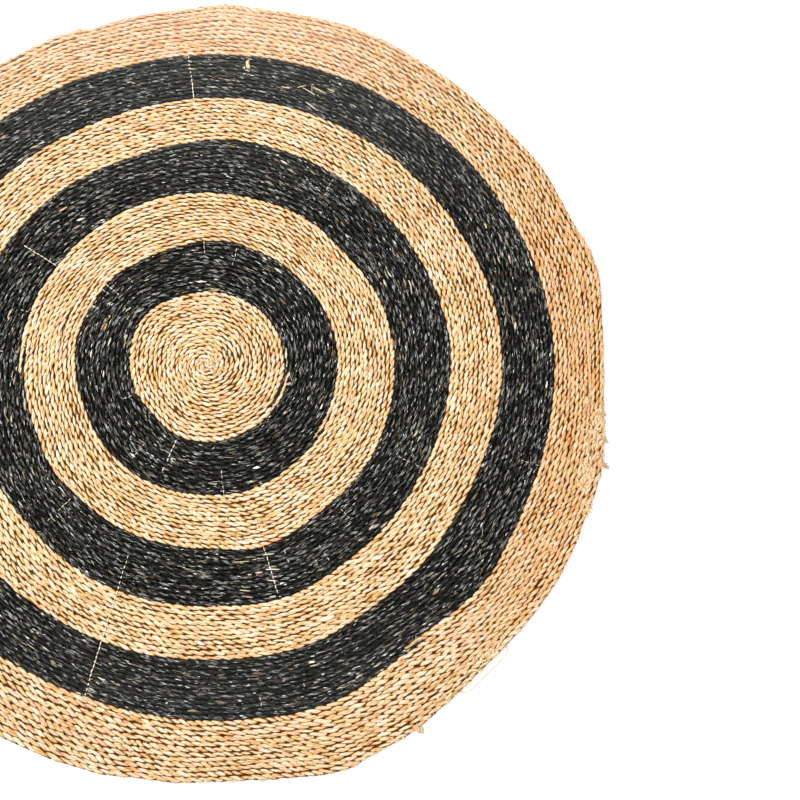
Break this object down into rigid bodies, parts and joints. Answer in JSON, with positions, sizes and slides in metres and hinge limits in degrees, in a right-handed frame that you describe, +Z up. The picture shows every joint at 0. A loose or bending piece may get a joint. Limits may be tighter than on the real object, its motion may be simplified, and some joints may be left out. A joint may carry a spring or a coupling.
{
  "type": "round seagrass rug",
  "caption": "Flat round rug of twisted seagrass rope coiled into a spiral, with wide natural and black rings, to lie on a floor.",
  "frame": {"origin": "centre of the bounding box in plan, on the flat underside that lies on the floor", "axes": "+Z up out of the rug's face, +X to the right and +Y to the top of the rug as the picture shows it"},
  "size_m": [1.1862, 1.1916, 0.0064],
  "materials": {
    "natural_rope": "undyed dried seagrass, straw to tan with paler, greener and pinkish blades, matt with a slight sheen",
    "black_rope": "black-dyed seagrass with a soft grey sheen and some poorly dyed tan blades"
  },
  "bodies": {
    "root": {"natural_centre": "natural_rope", "black_ring_1": "black_rope", "natural_ring_1": "natural_rope", "black_ring_2": "black_rope", "natural_ring_2": "natural_rope", "black_ring_3": "black_rope", "natural_ring_3": "natural_rope", "natural_rim": "natural_rope"}
  },
  "joints": []
}
